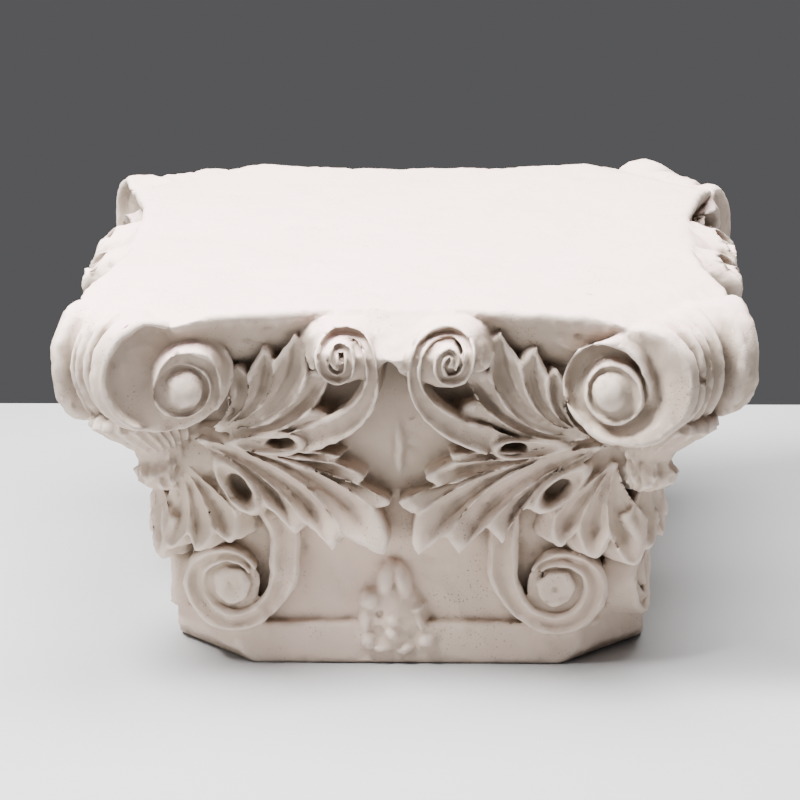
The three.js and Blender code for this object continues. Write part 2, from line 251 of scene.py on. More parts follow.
def smooth_path(points, count):
    """count points along the smooth curve through a few (u, n, z) points."""
    points = np.array(points, float)
    lengths = np.concatenate([[0], np.cumsum(np.linalg.norm(np.diff(points, axis=0), axis=1))])
    at = np.linspace(0, lengths[-1], count)
    return np.stack([through(np.stack([lengths, points[:, k]], axis=1), at) for k in range(3)], axis=1)


def uneven(points, size, seed):
    """A seeded unevenness from about -1 to 1, made of crossing waves about this long."""
    chance = np.random.default_rng(seed)
    waves = chance.normal(size=(20, 3))
    waves *= (TURN / size) * chance.uniform(0.6, 1.7, 20)[:, None] / np.linalg.norm(waves, axis=1)[:, None]
    return np.sin(points @ waves.T + chance.uniform(0, TURN, 20)).sum(axis=1) / math.sqrt(20)


def abacus_edge(u):
    """How far out the abacus's concave edge stands at u."""
    return ABACUS["centre"] + ABACUS["rise"] * (u / ABACUS["at"]) ** 2


def square_face(half, u):
    """How far out a rounded square of this half width stands at u."""
    share = np.minimum(np.abs(u) / half, 0.995)
    return half * (1 - share**CORNER_POWER) ** (1 / CORNER_POWER)


def leaf_face(u, z):
    """How far out the leaves stand at a point of the face."""
    return square_face(through(LEAF, z), u)


# ---- making pieces ----

def read_points(piece):
    """The places of a piece's points, one row each."""
    points = np.empty(len(piece.data.vertices) * 3)
    piece.data.vertices.foreach_get("co", points)
    return points.reshape(-1, 3)


def write_points(piece, points):
    """Moves a piece's points to these places."""
    piece.data.vertices.foreach_set("co", np.ascontiguousarray(points, float).ravel())
    piece.data.update()


def in_space(u, n, z):
    """Face measures in millimetres to metres in the frame."""
    return np.stack([u, -n, z], axis=1) * UNIT


def grid_of(name, columns, rows):
    """A new flat grid, and the places of its points across and along it, from 0 to 1."""
    bpy.ops.object.select_all(action="DESELECT")
    bpy.ops.mesh.primitive_grid_add(x_subdivisions=columns, y_subdivisions=rows, size=2)
    piece = bpy.context.object
    piece.name = name
    x, y, _ = read_points(piece).T
    return piece, (x + 1) / 2, (y + 1) / 2


def rolled_grid(name, segments, rings, place):
    """A grid rolled into a closed round form: place(around, along) gives u, n and z for values
    from 0 to 1. Its long sides meet in a seam, and each end is drawn together in a point."""
    piece, around, along = grid_of(name, segments, rings)
    along = np.round(along * rings) / rings
    around = np.round(around * segments) % segments / segments
    around[(along == 0) | (along == 1)] = 0
    write_points(piece, in_space(*place(around, along)))
    bpy.ops.object.mode_set(mode="EDIT")
    bpy.ops.mesh.select_all(action="SELECT")
    bpy.ops.mesh.remove_doubles(threshold=1e-6)
    bpy.ops.mesh.normals_make_consistent(inside=False)
    bpy.ops.object.mode_set(mode="OBJECT")
    return piece


def pulled_slab(name, columns, rows, place, inwards):
    """A grid pulled into shape by place(across, out), then extruded towards the axis."""
    piece, across, out = grid_of(name, columns, rows)
    write_points(piece, in_space(*place(across, out)))
    bpy.ops.object.mode_set(mode="EDIT")
    bpy.ops.mesh.select_all(action="SELECT")
    bpy.ops.mesh.extrude_region_move(TRANSFORM_OT_translate={"value": (0, 0, 0)})
    bpy.ops.transform.resize(value=(inwards, inwards, 1), center_override=(0, 0, 0))
    bpy.ops.object.mode_set(mode="OBJECT")
    return piece


def swept_band(name, path, half_width, rise, rooted, lift=None):
    """A band along a path of (u, n, z) points on its face. rise(w, t) is the height of the face at
    w, from -1 to 1 across it, and t, from 0 to 1 along it; rooted is how deep its back lies, and
    lift(z) is how much higher it lies than its face."""
    rings = len(path) + 1
    tangent = np.gradient(path, axis=0)
    tangent /= np.linalg.norm(tangent, axis=1)[:, None]
    outward = np.array([0.0, 1.0, 0.0])
    proud = outward - tangent * (tangent @ outward)[:, None]
    proud /= np.linalg.norm(proud, axis=1)[:, None]
    sideways = np.cross(tangent, proud)

    def place(around, along):
        step = np.clip(np.round(along * rings).astype(int) - 1, 0, len(path) - 1)
        t = step / (len(path) - 1)
        on_face = around < 0.6
        w = np.where(on_face, around / 0.3 - 1, 1 - (around - 0.6) / 0.2)
        height = np.where(on_face, rise(w, t), -rooted)
        at_end = (along == 0) | (along == 1)
        w = np.where(at_end, 0, w)
        height = np.where(at_end, -rooted / 2, height)
        point = path[step] + sideways[step] * (w * half_width(t))[:, None] + proud[step] * height[:, None]
        u, n, z = point.T
        if lift:
            back = np.where(on_face, 0, lift(path[step][:, 2]))
            z = np.minimum(z + back, HEIGHT - 1)
        return u, n, z

    return rolled_grid(name, BAND_SEGMENTS, rings, place)


def boss(name, centre, outline, profile, face, rooted, rings, segments=64):
    """A round of carving on the face: outline(angle) is its reach and tallness as (u, z) offsets,
    profile(share, angle) its height from middle to edge, and face(u, z) the surface it sits on."""
    def place(around, along):
        share = 1 - np.abs(1 - 2 * along)
        angle = around * TURN
        du, dz = outline(angle)
        u = centre[0] + share * du
        z = centre[1] + share * dz
        height = np.where(along <= 0.5, profile(share, angle), -rooted)
        return u, face(u, z) + height, z

    return rolled_grid(name, segments, rings * 2, place)


def circle(radius):
    """The outline of a circle, for a boss."""
    def outline(angle):
        return radius * np.cos(angle), radius * np.sin(angle)

    return outline


# ---- the core ----

def around_axis(reach, angle, z):
    """Points around the axis as face measures."""
    return reach * np.cos(angle), -reach * np.sin(angle), z


def stacked_profile(profile, along):
    """The (z, size) of a profile for along from 0 to 1, with a flat cap at both ends."""
    position = np.clip(along * (len(profile) + 1) - 1, 0, len(profile) - 1)
    z, size = (np.interp(position, range(len(profile)), column) for column in zip(*profile))
    cap = np.clip(along * (len(profile) + 1), 0, 1) * np.clip((1 - along) * (len(profile) + 1), 0, 1)
    return z, size, cap


def plinth():
    """The square foot, with cut corners that are eased in at the floor."""
    half, flat, height = PLINTH["half"], PLINTH["flat"], PLINTH["height"]
    chamfer = (half + flat) / math.sqrt(2)
    profile = ((0, 5), (1, 2), (4, 0), (height - 5, 0), (height - 1, 2), (height, 5))

    def place(around, along):
        z, inset, cap = stacked_profile(profile, along)
        angle = around * TURN
        side = (angle + math.pi / 4) % (math.pi / 2) - math.pi / 4
        corner = angle % (math.pi / 2) - math.pi / 4
        eased = PLINTH["ease"] * (1 - ease(0, 22, z))
        reach = np.minimum((half - inset) / np.cos(side), (chamfer - inset - eased) / np.cos(corner))
        return around_axis(reach * cap, angle, z)

    return rolled_grid("plinth", 360, 70, place)


def bell():
    """The rounded square body that the leaves lie on."""
    def place(around, along):
        span = len(BELL) - 1
        position = np.clip(along * 1.1 - 0.05, 0, 1)
        z = BELL[0][0] + position * (BELL[span][0] - BELL[0][0])
        half = through(BELL, z)
        cap = np.clip(along / 0.04, 0, 1) * np.clip((1 - along) / 0.04, 0, 1)
        angle = around * TURN
        c, s = np.abs(np.cos(angle)), np.abs(np.sin(angle))
        reach = half / (c**CORNER_POWER + s**CORNER_POWER) ** (1 / CORNER_POWER)
        return around_axis(reach * cap, angle, z)

    return rolled_grid("bell", 320, 150, place)


def abacus():
    """The top: four concave sides, cut corners that slope down to the horns, and a hollow under it."""
    profile = ((350, 40), (366, 26), (382, 17), (394, 11), (402, 5), (408, 1.5), (413, 0), (417, 1.5),
               (HEIGHT, 6))
    bow = ABACUS["rise"] / ABACUS["at"] ** 2

    def place(around, along):
        z, inset, cap = stacked_profile(profile, along)
        angle = around * TURN
        slope = np.abs(np.tan((angle + math.pi / 4) % (math.pi / 2) - math.pi / 4)) + 1e-6
        centre = ABACUS["centre"] - inset
        n = (1 - np.sqrt(1 - 4 * bow * slope**2 * centre)) / (2 * bow * slope**2)
        slope_down = ABACUS["corner_slope"] * ease(406, 421, z)
        cut = (ABACUS["cut"] - 1.4 * inset - slope_down) / (1 + slope)
        n = np.minimum(n, cut)
        return around_axis(n * np.sqrt(1 + slope**2) * cap, angle, z)

    return rolled_grid("abacus", 720, 120, place)


# ---- horns and volutes ----

def polar(u, z, centre):
    """Distance and angle in degrees from a centre on the face."""
    return np.hypot(u - centre[0], z - centre[1]), np.degrees(np.arctan2(z - centre[1], u - centre[0]))


def read_table(table, values):
    """Straight between the (where, value) pairs of a table."""
    return np.interp(values, *zip(*table))


def volute_right(u, z):
    """Relief of a right-hand volute: a wall that winds in from the rim, a bowl, and a ring."""
    reach, angle = polar(u, z, EYE_RIGHT)
    turned = (COIL_START - angle) % 360 - COIL_START
    floor = -BOWL_DEPTH + 4 * bump(turned, 130, 40)
    height = floor
    for wound in (turned, turned + 360):
        wall = read_table(COIL_REACH, wound)
        top = read_table(COIL_HEIGHT, wound)
        outside = floor * ease(285, 350, wound)
        inner_slope = read_table(COIL_SLOPE, wound)
        inwards = top + (floor - top) * ease(0, 1, (wall - reach) / inner_slope)
        outwards = top + (outside - top) * ease(0, 15, reach - wall)
        relief = np.where(reach < wall, inwards, outwards)
        height = np.where(wound < COIL_REACH[-1][0], np.maximum(height, relief), height)
    ring_at = read_table(RING_REACH, angle)
    ring = floor + (3 - floor) * bump(reach, ring_at, 3.6)
    return np.where(reach < ring_at, np.maximum(ring, -2), np.maximum(ring, height))


def volute_left(u, z):
    """Relief of a left-hand volute: a drum with a crescent hollow, in a broad flat trough."""
    reach, angle = polar(u, z, EYE_LEFT)
    wound = -((angle - DRUM_START) % 360 + DRUM_START)
    crest_at = read_table(DRUM_CREST, wound)
    edge_at = read_table(DRUM_EDGE, wound)
    top = read_table(DRUM_HEIGHT, wound)
    trough = -15 + 4 * ease(0, 30, reach - edge_at)
    crescent = top - 6 + 6 * ease(-4, 0, reach - crest_at)
    slope = trough + (top - trough) * (1 - ease(-0.35, 1, (reach - crest_at) / (edge_at - crest_at)))
    height = np.where(reach < crest_at, crescent, slope)
    ring = 15 * bump(reach, 29, 3) - 12
    return np.where(reach < 29, np.maximum(ring, -2), np.maximum(ring, height))


def horn():
    """The horn of the front right corner: a disc on either face and the fluted band between."""
    disc_end = 0.36

    def disc(share, angle, rim, centre, relief):
        radius = read_table(rim, (angle + 180) % 360 - 180) * share
        radians = np.radians(angle)
        u = EYE["u"] + (centre[0] - EYE["u"]) * share + radius * np.cos(radians)
        z = EYE["z"] + (centre[1] - EYE["z"]) * share + radius * np.sin(radians)
        rounding = 5 * ease(0.93, 1, share) ** 2
        return u, abacus_edge(u) + relief(u, z) - rounding, np.minimum(z, HEIGHT)

    def place(around, along):
        angle = around * 360
        near_share = np.clip(along / disc_end, 0, 1)
        far_share = np.clip((1 - along) / disc_end, 0, 1)
        near = disc(near_share, angle, RIM_RIGHT, RIM_RIGHT_CENTRE, volute_right)
        far_n, far_u, far_z = disc(far_share, angle, RIM_LEFT, RIM_LEFT_CENTRE, volute_left)
        outer = ease(-0.4, 0.35, np.cos(np.radians(angle - 8)))
        lip = ease(0.86, 0.91, far_share) * ease(0.1, 0.35, np.cos(np.radians(angle - 15)))
        far_u = far_u + lip * (abacus_edge(far_n) - 5 * ease(0.95, 1, far_share) - far_u)
        t = np.clip((along - disc_end) / (1 - 2 * disc_end), 0, 1)
        over = ease(-0.45, 0, np.cos(np.radians(angle))) * (1 - outer)
        folds = sum(FOLD_DEPTH * bump(t, fold, 0.035) for fold in BAND_FOLDS)
        inward = (outer * read_table(BAND_DEPTH, t) + over * folds) / math.sqrt(2)
        mixed = [a * (1 - t) + b * t for a, b in zip(near, (far_u, far_n, far_z))]
        return mixed[0] - inward, mixed[1] - inward, mixed[2] - 0.7 * over * folds

    return rolled_grid("horn", 240, 320, place)


def volute_eye(side, centre):
    """The domed eye of a volute."""
    def dome(share, angle):
        return EYE["out"] * np.sqrt(np.clip(1 - share**2, 0, 1)) - 8

    def face(u, z):
        return abacus_edge(centre[0]) + 0 * u

    middle = (side * centre[0], centre[1])
    return boss("eye", middle, circle(EYE["radius"]), dome, face, EYE_ROOTED, rings=20)


def corner_flare():
    """The body swelling out under a horn, and the rough curled leaf tip that hangs there."""
    low, high = FLARE[0][0], FLARE[-1][0]
    middles = [(z, middle) for z, middle, radius in FLARE]
    radii = [(z, radius) for z, middle, radius in FLARE]

    def place(around, along):
        z = low + (high - low) * np.clip(along * 1.04 - 0.02, 0, 1)
        cap = np.clip(along / 0.02, 0, 1) * np.clip((1 - along) / 0.02, 0, 1)
        angle = around * TURN
        outwards = np.cos(angle + math.pi / 4)
        sideways = np.sin(angle + math.pi / 4)
        drawn = np.where(outwards > 0, FLARE_OUTWARDS, FLARE_INWARDS)
        stretch = FLARE_ROUND / np.hypot(drawn * outwards, FLARE_ACROSS * sideways)
        ribs = 2.2 * np.cos(angle * FLARE_RIBS) * ease(250, 262, z)
        round_it = np.stack([60 * np.cos(angle), 60 * np.sin(angle), z], axis=1)
        lumps = 2.4 * uneven(round_it, 34, 3) + 1.8 * uneven(round_it, 15, 4)
        reach = read_table(radii, z) * stretch + ribs + lumps * (1 - ease(240, 262, z))
        middle = read_table(middles, z)
        return middle + reach * np.cos(angle) * cap, middle - reach * np.sin(angle) * cap, z

    return rolled_grid("corner_flare", 200, 130, place)


# ---- leaves ----

def inside_ellipse(u, z, centre, long, short, tilt, tail=0.0):
    """How far out of an ellipse a point is: 0 at its middle, 1 on its line. tail draws out the end
    that lies that way."""
    du = u - centre[0]
    dz = z - centre[1]
    a = (du * math.cos(tilt) + dz * math.sin(tilt)) / long
    b = (dz * math.cos(tilt) - du * math.sin(tilt)) / short
    return np.hypot(np.where(a * tail > 0, a / (1 + abs(tail)), a), b)


def leaf_fan(name, root, edge, bow, curl, eyes, side):
    """A fan of pointed lobes, gouged down each lobe, with sharp ridges between them. bow bends the
    lines to the notches, curl is how far the tips turn out, and eyes are the holes through it."""
    edge = np.array(edge, float)
    root = np.array(root, float)
    lobes = (len(edge) - 1) // 2

    def place(across, out):
        x = across * lobes
        lobe = np.minimum(x.astype(int), lobes - 1)
        w = 2 * (x - lobe) - 1
        tip = edge[2 * lobe + 1]
        notch = np.where((w < 0)[:, None], edge[2 * lobe], edge[2 * lobe + 2])
        q = np.abs(w)[:, None]
        axis = tip - root
        axis /= np.linalg.norm(axis, axis=1)[:, None]
        back = axis * np.sum((notch - tip) * axis, axis=1)[:, None]
        end = tip + back * q**1.5 + (notch - tip - back) * q**0.7
        start = root + (end - root) * 0.04
        b = out[:, None]
        point = start + (end - start) * b
        reach = end - root
        arch = np.interp(x, range(lobes + 1), bow)[:, None] * 4 * b * (1 - b)
        point = point + arch * np.stack([side * reach[:, 1], np.abs(reach[:, 0])], axis=1)
        u, z = point.T
        width = np.linalg.norm(edge[2 * lobe + 2] - edge[2 * lobe], axis=1) * out
        away = np.abs(w)
        valley = 0.8 * (1 - away**1.3) + 0.2 * (1 - ease(0, 0.25, away))
        gouge = np.minimum(0.42 * width, 12.5) * valley * (1 - 0.45 * ease(0.8, 1, out))
        crest = 3.5 * bump(away, 1, 0.1) * ease(0.1, 0.3, out)
        crest = crest + 1.7 * bump(away, 0.5, 0.1) * ease(0.2, 0.45, out) * (1 - ease(0.75, 0.95, out))
        turned_out = curl * ease(0.72, 1, out) * (1 - 0.7 * away)
        lip = 3 * ease(0.95, 1, out)
        n = leaf_face(u, z) - gouge + crest + turned_out - lip
        for eye in eyes:
            hole = 1 - ease(0.8, 1.05, inside_ellipse(u, z, *eye))
            n = n + (leaf_face(u, z) - LEAF_HOLE_DEPTH - n) * hole
        return u, n, z

    return pulled_slab(name, LOBE_COLUMNS * lobes, LEAF_ROWS, place, LEAF_BACK)


def eyelet(name, centre, long, short, tilt, tail):
    """The raised lip round a drop-shaped hole; tail draws its rootward end out."""
    def outline(angle):
        a = EYELET_REACH * long * np.cos(angle) * np.where(np.cos(angle) * tail > 0, 1 + abs(tail), 1)
        b = EYELET_REACH * short * np.sin(angle)
        return a * math.cos(tilt) - b * math.sin(tilt), a * math.sin(tilt) + b * math.cos(tilt)

    def surface(u, z):
        from_lip = inside_ellipse(u, z, centre, long, short, tilt, tail)
        from_hole = inside_ellipse(u, z, centre, long, short, tilt)
        lip = 8 * bump(from_lip, 1.4, 0.32) - 12 * ease(1.6, 2.05, from_lip)
        return leaf_face(u, z) + lip - EYELET_DEPTH * (1 - ease(0.7, 1.1, from_hole))

    def level(share, angle):
        return 0 * share

    return boss(name, centre, outline, level, surface, EYELET_ROOTED, rings=34, segments=72)


def helix_face(z):
    """How far out the helices' front stands at a height."""
    return through(HELIX, z)


def on_helix(points):
    """Puts (u, z) points on the helices' front."""
    return [(u, float(helix_face(np.array([z]))[0]), z) for u, z in points]


def helix(name, stem, curl):
    """A channelled band that rises from the leaves and curls over under the abacus."""
    path = smooth_path(on_helix(list(stem) + list(curl)), 220)
    turn_over = len(stem) / (len(stem) + len(curl))

    def half_width(t):
        return 15.5 - 9 * ease(turn_over - 0.2, turn_over + 0.2, t) - 1.5 * ease(0.75, 1, t)

    def rise(w, t):
        channel = 6 * (1 - np.abs(w) ** 2) * (1 - 0.6 * ease(0.5, 1, t))
        return 3 * bump(np.abs(w), 0.75, 0.2) - channel - 3 * np.abs(w) ** 8

    def lift(z):
        return 15 * ease(384, 404, z)

    return swept_band(name, path, half_width, rise, HELIX_ROOTED, lift)


def saddle():
    """The mass the two helices curl over, running up into the abacus."""
    left, right = SADDLE_EDGE[0][0], SADDLE_EDGE[-1][0]
    top = HEIGHT - 1

    def place(across, out):
        u = left + (right - left) * across
        low = through(SADDLE_EDGE, u)
        z = top + (low - top) * out
        depth = 7 - 4 * bump(u, -8, 16)
        front = np.minimum(helix_face(z) - depth, ABACUS["centre"] + (top - z) * 1.3)
        sides = ease(0.78, 1, np.abs(2 * across - 1))
        return u, front - 8 * ease(0.9, 1, out) - 22 * sides, z

    return pulled_slab("saddle", 90, 50, place, 0.8)


def lower_scroll(name, stem, centre, side):
    """A band with a ridge on either edge, down from the leaves and round under a flat eye."""
    turned = np.linspace(160, 500, 140)
    outer = read_table(SCROLL_OUTER, turned)
    inner = read_table(SCROLL_INNER, turned)
    middle = (outer + inner) / 2
    u = side * (centre[0] + middle * np.cos(np.radians(turned)))
    z = centre[1] + middle * np.sin(np.radians(turned))
    coil = np.stack([u, square_face(SCROLL_FACE, u), z], axis=1)
    lead = smooth_path(list(stem) + [tuple(coil[0])], 50)[:-1]
    path = np.concatenate([lead, coil])
    widths = np.concatenate([np.full(len(lead), outer[0] - inner[0]), outer - inner]) / 2 + 3.5

    def half_width(t):
        return np.interp(t, np.linspace(0, 1, len(path)), widths)

    def rise(w, t):
        return 3 * bump(np.abs(w), 0.68, 0.2) - 5 * bump(w, 0, 0.4) - 4 * np.abs(w) ** 6

    return swept_band(name, path, half_width, rise, SCROLL_ROOTED)


def scroll_eye(name, centre):
    """A flat rough eye with a pinhole, standing in a shallow dish."""
    def disc(share, angle):
        edge = 0.66 + 0.03 * np.sin(3 * angle) + 0.02 * np.sin(7 * angle + 1)
        pinhole = 4 * bump(share, 0, 0.09)
        return -8 * ease(edge - 0.05, edge + 0.05, share) - pinhole

    def face(u, z):
        return square_face(SCROLL_FACE, u)

    return boss(name, centre, circle(SCROLL_DISH), disc, face, SCROLL_EYE_ROOTED, rings=30)


# ---- small carving ----

def blob(name, centre, size, lean=0.0):
    """An egg with its middle at (u, n, z) and these half sizes, leaning by lean."""
    def place(around, along):
        ring = np.sin(along * math.pi)
        z = size[2] * np.cos(along * math.pi)
        u = centre[0] + size[0] * ring * np.cos(around * TURN) + lean * z
        n = centre[1] + size[1] * ring * np.sin(around * TURN)
        return u, n, centre[2] + z

    return rolled_grid(name, 40, 24, place)


def fleuron():
    """The bud and worn flower at the foot of the face: one lumpy cluster with drilled holes."""
    box = FLEURON_BOX

    def place(across, out):
        u = box["left"] + (box["right"] - box["left"]) * across
        z = box["high"] + (box["low"] - box["high"]) * out
        n = np.full(len(u), float(FLEURON_BACK))
        for centre, long, short, tilt, stand in FLEURON_LUMPS:
            share = inside_ellipse(u, z, centre, long, short, tilt)
            dome = np.sqrt(np.clip(1 - share**2, 0, 1))
            n = np.maximum(n, FLEURON_ROOT + (stand - FLEURON_ROOT) * dome - 4 * (share > 1))
        for centre, radius in FLEURON_HOLES:
            hole = 1 - ease(0.7, 1.1, inside_ellipse(u, z, centre, radius, radius, 0))
            n = n + (FLEURON_HOLE_FLOOR - n) * hole
        return u, n, z

    return pulled_slab("fleuron", 80, 92, place, 0.9)


def left_half():
    """The carving left of a face's middle."""
    upper_eye = ((-131, 265), 18, 9.5, 0.0)
    lower_eye = ((-177, 209), 20, 11, -0.96)
    return [
        leaf_fan("upper_leaf", (-205, 279), UPPER_LEFT, UPPER_BOW, 8, [upper_eye], -1),
        leaf_fan("lower_leaf", (-228, 270), LOWER_LEFT, LOWER_BOW, 15, [lower_eye], -1),
        leaf_fan("side_leaf", (-248, 247), SIDE_LEFT, SIDE_BOW, 13, [], -1),
        eyelet("eyelet", (-131, 265), 16, 8, 0.0, -1.2),
        eyelet("eyelet", (-177, 209), 19, 10, -0.96, -0.4),
        blob("leaf_bed", (-180, 254, 268), (58, 28, 17), 0.4),
        blob("leaf_bed", (-222, 256, 238), (30, 17, 34), 0.2),
        blob("curl_heart", (-63, 352, 377), (8, 12, 8)),
        helix("helix", ((-108, 269), (-88, 277), (-64, 290), (-43, 313), (-31, 342)),
              ((-28, 368), (-33, 390), (-47, 402), (-64, 403), (-76, 395), (-80, 380), (-76, 364), (-65, 356),
               (-55, 361), (-51, 375), (-54, 389), (-62, 392), (-67, 385), (-66, 376), (-61, 372))),
        lower_scroll("scroll", ((-158, 262, 200), (-143, 262, 178), (-132, 262, 158)), (189, 92), -1),
        scroll_eye("scroll_eye", (-190, 92)),
        volute_eye(-1, EYE_LEFT),
    ]


def right_half():
    """The carving right of a face's middle."""
    upper_eye = ((118, 259), 16, 9, 0.03)
    lower_eye = ((163, 207), 19, 10.5, 0.7)
    return [
        leaf_fan("upper_leaf", (203, 270), UPPER_RIGHT, UPPER_BOW, 8, [upper_eye], 1),
        leaf_fan("lower_leaf", (220, 262), LOWER_RIGHT, LOWER_BOW, 15, [lower_eye], 1),
        leaf_fan("side_leaf", (228, 242), SIDE_RIGHT, SIDE_BOW, 13, [], 1),
        eyelet("eyelet", (118, 259), 14, 7.5, 0.03, 1.6),
        eyelet("eyelet", (163, 207), 18, 9.5, 0.7, 0.5),
        blob("leaf_bed", (176, 252, 258), (58, 28, 16), -0.4),
        blob("leaf_bed", (214, 252, 236), (30, 17, 34), -0.2),
        blob("curl_heart", (53, 352, 375), (8, 12, 8)),
        blob("throat", (200, 305, 394), (54, 18, 24)),
        helix("helix", ((96, 264), (78, 273), (57, 285), (37, 302), (22, 325)),
              ((16, 348), (16, 370), (22, 390), (36, 401), (53, 404), (67, 398), (73, 384), (70, 367),
               (60, 356), (48, 356), (42, 368), (45, 383), (54, 387), (59, 379), (55, 370))),
        lower_scroll("scroll", ((112, 262, 200), (108, 262, 178), (106, 262, 158)), (163, 90), 1),
        scroll_eye("scroll_eye", (162, 90)),
        volute_eye(1, EYE_RIGHT),
    ]


# ---- the casting ----

def select(*pieces):
    """Makes these the selected pieces, and the first of them the active one."""
    bpy.ops.object.select_all(action="DESELECT")
    for piece in pieces:
        piece.select_set(True)
    bpy.context.view_layer.objects.active = pieces[0]


def join(pieces, name):
    """Joins the pieces into one of this name."""
    select(*pieces)
    bpy.ops.object.join()
    joined = bpy.context.object
    joined.name = name
    return joined


def turned_copies(piece):
    """The piece and its three quarter turns about the axis."""
    copies = [piece]
    for quarter in range(1, QUARTERS):
        select(piece)
        bpy.ops.object.duplicate()
        bpy.ops.transform.rotate(value=quarter * TURN / QUARTERS, orient_axis="Z", center_override=(0, 0, 0))
        bpy.ops.object.transform_apply(location=True, rotation=True, scale=True)
        copies.append(bpy.context.object)
    return copies


def add_modifier(piece, kind, **settings):
    """Puts a modifier of this kind on the piece, with these settings."""
    modifier = piece.modifiers.new(kind.title(), kind)
    for setting, value in settings.items():
        setattr(modifier, setting, value)


def apply_modifiers(piece):
    """Works out the whole stack once and keeps its result as the mesh."""
    select(piece)
    bpy.ops.object.convert(target="MESH")


def weather(piece):
    """Moves the surface in and out a little, as an old hand-finished casting is, with dents."""
    points = read_points(piece)
    normals = np.empty(points.size)
    piece.data.vertex_normals.foreach_get("vector", normals)
    at = points / UNIT
    move = 0.8 * uneven(at, 70, 11) + 0.5 * uneven(at, 24, 12) + 0.25 * uneven(at, 9, 13)
    dents = ease(1.5, 2.3, uneven(at, 26, 14)) + 0.6 * ease(1.5, 2.2, uneven(at, 13, 15))
    move = (move - 2.2 * dents) * ease(0, 10, at[:, 2])
    write_points(piece, points + normals.reshape(-1, 3) * (move * UNIT)[:, None])


def casting():
    """The whole capital as one closed mesh, kept inside the solid's box."""
    middle = [saddle(), fleuron(), blob("axis_ridge", (-6, 247, 275), (12, 24, 60))]
    face = join(left_half() + right_half() + middle + [horn(), corner_flare()], "face")
    whole = join([plinth(), bell(), abacus()] + turned_copies(face), "capital_casting")
    whole.data.remesh_voxel_size = VOXEL * UNIT
    bpy.ops.object.voxel_remesh()
    weather(whole)
    add_modifier(whole, "SMOOTH", factor=0.5, iterations=1)
    triangles = 2 * len(whole.data.polygons)
    add_modifier(whole, "DECIMATE", ratio=min(1.0, MOST_TRIANGLES / triangles))
    apply_modifiers(whole)
    points = read_points(whole)
    write_points(whole, np.clip(points, cad_box[0], cad_box[1]))
    whole.data.shade_smooth()
    return whole


# ---- looks ----

class Shade:
    """A shader value that plain sums can be written with."""

    def __init__(self, socket):
        self.socket = socket
        self.tree = socket.id_data

    def node(self, kind, settings, *values, out=0):
        """A new node with its settings, its inputs as (name or place, value) pairs, and one output."""
        made = self.tree.nodes.new(kind)
        for setting, value in settings.items():
            setattr(made, setting, value)
        for key, value in values:
            if isinstance(value, Shade):
                self.tree.links.new(value.socket, made.inputs[key])
            else:
                made.inputs[key].default_value = value
        return Shade(made.outputs[out])

    def maths(self, operation, *values):
        """The result of a sum of this kind."""
        return self.node("ShaderNodeMath", {"operation": operation}, *enumerate(values))

    def __add__(self, other):
        return self.maths("ADD", self, other)

    def __radd__(self, other):
        return self.maths("ADD", other, self)

    def __sub__(self, other):
        return self.maths("SUBTRACT", self, other)

    def __rsub__(self, other):
        return self.maths("SUBTRACT", other, self)

    def __mul__(self, other):
        return self.maths("MULTIPLY", self, other)

    def __rmul__(self, other):
        return self.maths("MULTIPLY", other, self)

    def between(self, low, high):
        """0 at low, 1 at high, smooth and held outside."""
        return self.node("ShaderNodeMapRange", {"interpolation_type": "SMOOTHSTEP"}, ("Value", self),
                         ("From Min", low), ("From Max", high))

    def noise(self, scale, detail, roughness=0.5):
        """Cloudy noise: more scale is finer, and more detail and roughness are grainier."""
        return self.node("ShaderNodeTexNoise", {}, ("Vector", self), ("Scale", scale), ("Detail", detail),
                         ("Roughness", roughness))

    def pits(self, scale):
        """Distance to the nearest of a scatter of points."""
        return self.node("ShaderNodeTexVoronoi", {}, ("Vector", self), ("Scale", scale))

    def mix(self, share, colour):
        """This colour, with a share of another over it."""
        return self.node("ShaderNodeMix", {"data_type": "RGBA"}, (0, share), (6, self), (7, colour), out=2)


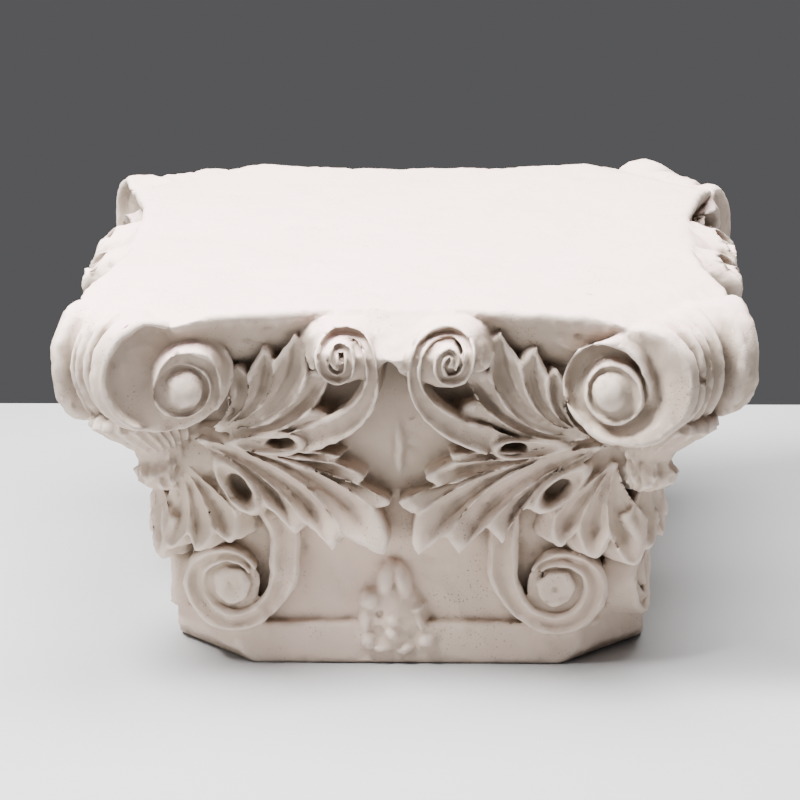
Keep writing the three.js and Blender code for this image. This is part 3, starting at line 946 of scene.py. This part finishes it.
def plaster():
    """Matt warm-white plaster, worn pale on its edges, with pits, old dirt mixed with painted shade in its
    hollows and creases, painted shade on the sheltered upper faces, and a flat top painted lighter as if lit
    from above.
    """
    material = bpy.data.materials.new("plaster")
    material.use_nodes = True
    shader = material.node_tree.nodes["Principled BSDF"]
    links = material.node_tree.links
    coordinates = material.node_tree.nodes.new("ShaderNodeTexCoord")
    place = Shade(coordinates.outputs["Object"])
    facing = Shade(coordinates.outputs["Normal"])
    # Ambient occlusion: near surfaces mark the hollows for dirt and painted shade, and the overhangs for
    # painted shade.
    hollow = 1 - place.node("ShaderNodeAmbientOcclusion", {"samples": 6}, ("Distance", DIRT_AND_SHADE_REACH), out=1)
    overhang_shade = 1 - place.node("ShaderNodeAmbientOcclusion", {"samples": 4}, ("Distance", OVERHANG_SHADE_REACH), out=1)
    point = Shade(material.node_tree.nodes.new("ShaderNodeNewGeometry").outputs["Pointiness"])
    worn = point.between(0.505, 0.56)
    cupped = point.between(0.495, 0.44)

    cloud = place.noise(7.0, 4.0).between(0.35, 0.7)
    grime = place.noise(60.0, 5.0, 0.65).between(0.3, 0.75)
    pit_field = place.noise(22.0, 2.0).between(0.5, 0.68)
    speck = (1 - place.pits(230.0).between(0.1, 0.24)) * pit_field
    small_pit = (1 - place.pits(420.0).between(0.12, 0.3)) * pit_field

    height_up = place.node("ShaderNodeSeparateXYZ", {}, ("Vector", place), out=2)
    # Dirt and painted shade: darker where other surfaces are near and in creases, broken up by grime noise.
    dirt_and_shade = hollow.between(0.25, 0.9) * (0.6 + 0.5 * grime) + 0.25 * cupped
    upward = place.node("ShaderNodeSeparateXYZ", {}, ("Vector", facing), out=2).between(0.2, 0.9)
    # Painted shade: darker on the upper faces that don't face up, most of all under overhangs.
    painted_upper_shade = (1 - upward) * height_up.between(0.14, 0.36) * (0.6 + 0.4 * overhang_shade.between(0.05, 0.45))
    pale_lit_top = place.node("ShaderNodeRGB", {})
    pale_lit_top.socket.default_value = PALE_LIT_TOP
    # The flat top keeps the pale pink and the other faces take cream: partly the plaster's tone, partly a
    # painted lit top.
    on_top = upward * height_up.between(0.34, 0.4)
    colour = pale_lit_top.mix((1 - on_top) * 0.8 + 0.2 * cloud, CREAM).mix(0.9 * painted_upper_shade, PAINTED_UPPER_SHADE)
    colour = colour.mix(dirt_and_shade.between(0, 1), DIRT_AND_SHADE)
    colour = colour.mix(speck * 0.55, SPECK).mix(0.5 * worn, WORN)
    links.new(colour.socket, shader.inputs["Base Color"])

    shader.inputs["Roughness"].default_value = 0.82
    shader.inputs["Specular IOR Level"].default_value = 0.3
    grain = place.noise(320.0, 4.0, 0.6)
    trowel = place.noise(28.0, 3.0)
    height = 0.35 * grain + 1.2 * trowel - 1.4 * speck - 0.8 * small_pit
    bumped = place.node("ShaderNodeBump", {}, ("Strength", 0.55), ("Distance", 0.0016), ("Height", height))
    links.new(bumped.socket, shader.inputs["Normal"])
    return material


# ---- camera, floor and light ----

def camera():
    """A long lens a little above the front face."""
    elevation, azimuth, roll = (math.radians(angle) for angle in CAMERA_ANGLES)
    aim = Vector(CAMERA_AIM)
    bpy.ops.object.camera_add()
    piece = bpy.context.object
    turn = Matrix.Rotation(azimuth, 3, "Z") @ Matrix.Rotation(math.pi / 2 - elevation, 3, "X")
    turn = turn @ Matrix.Rotation(roll, 3, "Z")
    piece.rotation_euler = turn.to_euler()
    piece.location = aim + turn @ Vector((0, 0, CAMERA_DISTANCE))
    piece.data.lens = CAMERA_LENS
    piece.data.sensor_width = CAMERA_SENSOR
    bpy.context.scene.camera = piece


def floor():
    """The plain pale floor, longer towards the front."""
    bpy.ops.mesh.primitive_cube_add(size=1, location=(0, -FLOOR_FORWARD, -FLOOR_SIZE[2] / 2))
    piece = bpy.context.object
    piece.name = "floor"
    piece.scale = FLOOR_SIZE
    bpy.ops.object.transform_apply(location=True, rotation=True, scale=True)
    material = bpy.data.materials.new("pale floor")
    material.use_nodes = True
    shader = material.node_tree.nodes["Principled BSDF"]
    shader.inputs["Base Color"].default_value = FLOOR_COLOUR
    shader.inputs["Roughness"].default_value = 0.6
    piece.data.materials.append(material)


def softbox(name, location, size, power):
    """A square soft lamp turned towards the capital."""
    bpy.ops.object.light_add(type="AREA", location=location)
    lamp = bpy.context.object
    lamp.name = name
    lamp.data.size = size
    lamp.data.energy = power
    lamp.rotation_euler = (Vector(LAMP_AIM) - Vector(location)).to_track_quat("-Z", "Y").to_euler()


def lights():
    """A key from high on the left, a light overhead, a low fill and an even grey studio."""
    softbox("key", (-1.0, -0.6, 2.4), 0.9, 320)
    softbox("overhead", (0.35, 0.05, 2.5), 1.5, 190)
    softbox("low fill", (-1.1, -1.2, 0.25), 0.8, 7)
    world = bpy.data.worlds.new("studio")
    world.use_nodes = True
    world.node_tree.nodes["Background"].inputs["Color"].default_value = STUDIO_COLOUR
    bpy.context.scene.world = world


# ---- the scene ----

camera()
floor()
lights()
capital = casting()
capital.data.materials.clear()
capital.data.materials.append(plaster())
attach(capital, "root")
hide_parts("capital")
